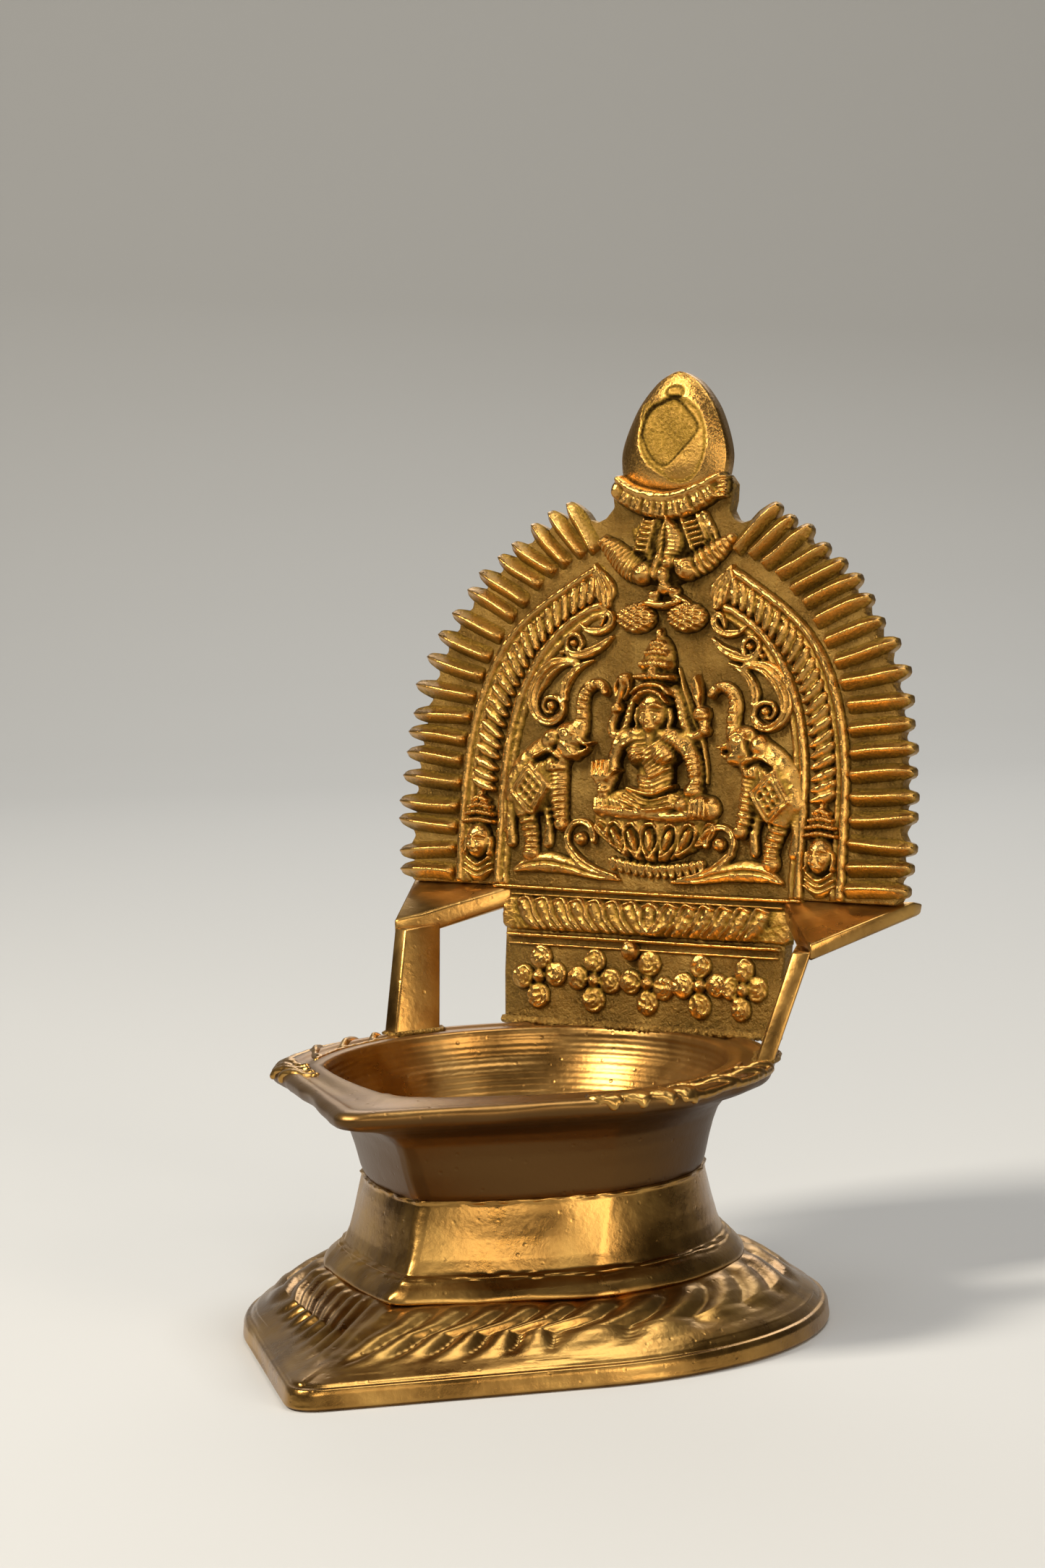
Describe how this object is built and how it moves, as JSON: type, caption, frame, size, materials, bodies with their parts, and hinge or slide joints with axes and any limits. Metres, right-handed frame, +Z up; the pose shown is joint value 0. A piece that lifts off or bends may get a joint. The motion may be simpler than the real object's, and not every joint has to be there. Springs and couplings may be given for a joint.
{
  "type": "kamakshi lamp",
  "caption": "Cast brass oil lamp: a pointed bowl on a waisted stem and gadrooned foot, with a leaning rayed arch plate bearing a seated goddess and elephants",
  "frame": {"origin": "centre of the base of the bounding box, on the surface the lamp stands on", "axes": "+Z up, -Y towards the point of the bowl, +X to the right seen from the point"},
  "size_m": [0.1018, 0.1224, 0.1521],
  "materials": {
    "polished_brass": "hand polished cast brass, warm copper tone",
    "turned_brass": "lathe turned and polished cast brass",
    "cast_brass": "grainy as-cast brass, unpolished",
    "relief_brass": "cast relief rubbed bright on its raised parts"
  },
  "bodies": {
    "root": {"bowl": "turned_brass", "bud": "relief_brass", "corner_head_left": "relief_brass", "corner_head_right": "relief_brass", "elephant_left": "relief_brass", "elephant_right": "relief_brass", "finial": "polished_brass", "finial_collar": "relief_brass", "flower_1": "relief_brass", "flower_2": "relief_brass", "flower_3": "relief_brass", "flower_4": "relief_brass", "flower_5": "relief_brass", "foot_flare": "polished_brass", "gadroon_band": "relief_brass", "garland_ball_left": "relief_brass", "garland_ball_right": "relief_brass", "goddess": "relief_brass", "ground_scroll_left": "relief_brass", "ground_scroll_right": "relief_brass", "inner_moulding_left": "relief_brass", "inner_moulding_right": "relief_brass", "kirtimukha": "relief_brass", "leaf_cap_left": "relief_brass", "leaf_cap_right": "relief_brass", "ledge_moulding": "polished_brass", "lotus_seat": "relief_brass", "lower_panel": "cast_brass", "outer_moulding_left": "relief_brass", "outer_moulding_right": "relief_brass", "panel_low_ridge": "relief_brass", "panel_top_ridge": "relief_brass", "rayed_arch": "cast_brass", "rim_ornament_left": "relief_brass", "rim_ornament_right": "relief_brass", "rope_band_left": "relief_brass", "rope_band_right": "relief_brass", "shoulder_left": "polished_brass", "shoulder_right": "polished_brass", "stem": "polished_brass", "strut_left": "polished_brass", "strut_right": "polished_brass", "upper_scroll_left": "relief_brass", "upper_scroll_right": "relief_brass"}
  },
  "joints": []
}
